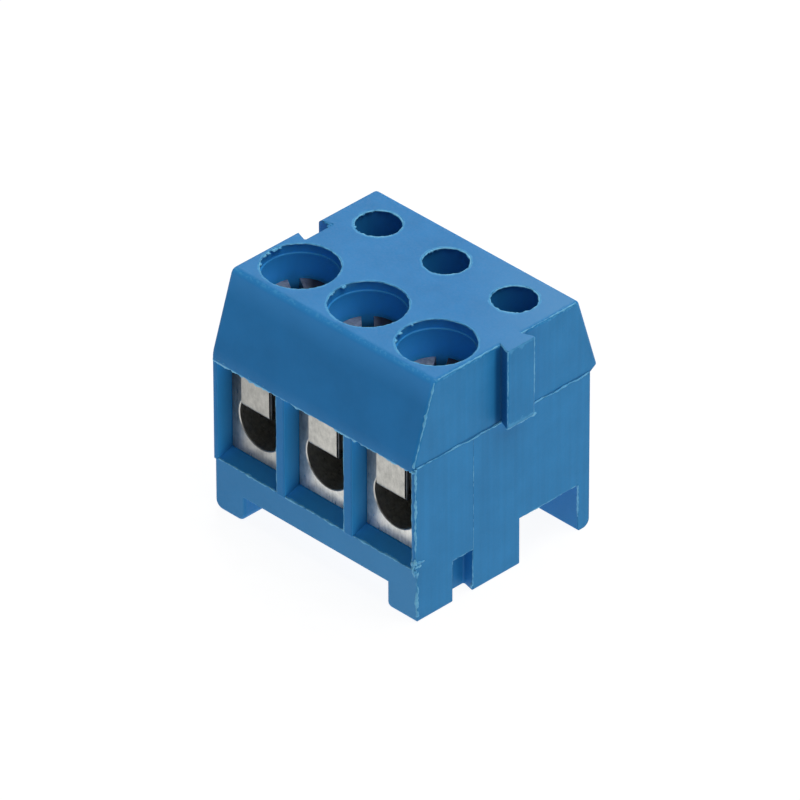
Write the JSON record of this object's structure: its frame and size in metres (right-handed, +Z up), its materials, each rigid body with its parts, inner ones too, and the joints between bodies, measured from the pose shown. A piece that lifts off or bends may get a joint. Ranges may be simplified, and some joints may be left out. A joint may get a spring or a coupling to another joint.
{
  "type": "pluggable screw terminal block",
  "caption": "Plug-in screw terminal block for a circuit board, with wire entries in front, screw wells and test holes on top, and dovetails on its ends.",
  "frame": {"origin": "middle of the bounding box, on the board surface that the feet stand on", "axes": "+X along the row of poles, to the right when looking at the wire entries; -Y is the wire-entry side; +Z up, away from the board"},
  "size_m": [0.0164, 0.0134, 0.0144],
  "materials": {
    "housing": "moulded polyamide, satin, with fine flash along its parting lines",
    "clamp_block": "nickel-plated, brushed",
    "clamp_screw": "zinc-plated, satin",
    "wire_guard": "bright rolled stainless strip",
    "socket_contact": "tin-plated spring bronze"
  },
  "bodies": {
    "housing": {"housing": "housing", "clamp_block_1": "clamp_block", "clamp_block_2": "clamp_block", "clamp_block_3": "clamp_block", "socket_contact_1": "socket_contact", "socket_contact_2": "socket_contact", "socket_contact_3": "socket_contact"},
    "wire_guard_1": {"wire_guard_1": "wire_guard"},
    "clamp_screw_1": {"clamp_screw_1": "clamp_screw"},
    "wire_guard_2": {"wire_guard_2": "wire_guard"},
    "clamp_screw_2": {"clamp_screw_2": "clamp_screw"},
    "wire_guard_3": {"wire_guard_3": "wire_guard"},
    "clamp_screw_3": {"clamp_screw_3": "clamp_screw"}
  },
  "joints": [
    {"name": "guard_travel_1", "type": "slide", "parent": "housing", "child": "wire_guard_1", "axis": [0, 0, -1], "range_m": [-0.00013, 0.00187]},
    {"name": "screw_turn_1", "type": "hinge", "parent": "wire_guard_1", "child": "clamp_screw_1", "pos_m": [-0.005, -0.00261, 0.0098], "axis": [0, 0, -1], "range_deg": [-93.6, 1346.4]},
    {"name": "guard_travel_2", "type": "slide", "parent": "housing", "child": "wire_guard_2", "axis": [0, 0, -1], "range_m": [-0.00013, 0.00187]},
    {"name": "screw_turn_2", "type": "hinge", "parent": "wire_guard_2", "child": "clamp_screw_2", "pos_m": [0, -0.00261, 0.0098], "axis": [0, 0, -1], "range_deg": [-93.6, 1346.4]},
    {"name": "guard_travel_3", "type": "slide", "parent": "housing", "child": "wire_guard_3", "axis": [0, 0, -1], "range_m": [-0.00029, 0.00171]},
    {"name": "screw_turn_3", "type": "hinge", "parent": "wire_guard_3", "child": "clamp_screw_3", "pos_m": [0.005, -0.00261, 0.0098], "axis": [0, 0, -1], "range_deg": [-208.8, 1231.2]}
  ],
  "couplings": [
    {"joint": "screw_turn_1", "follows": "guard_travel_1", "rad_per_m": 12566},
    {"joint": "screw_turn_2", "follows": "guard_travel_2", "rad_per_m": 12566},
    {"joint": "screw_turn_3", "follows": "guard_travel_3", "rad_per_m": 12566}
  ]
}
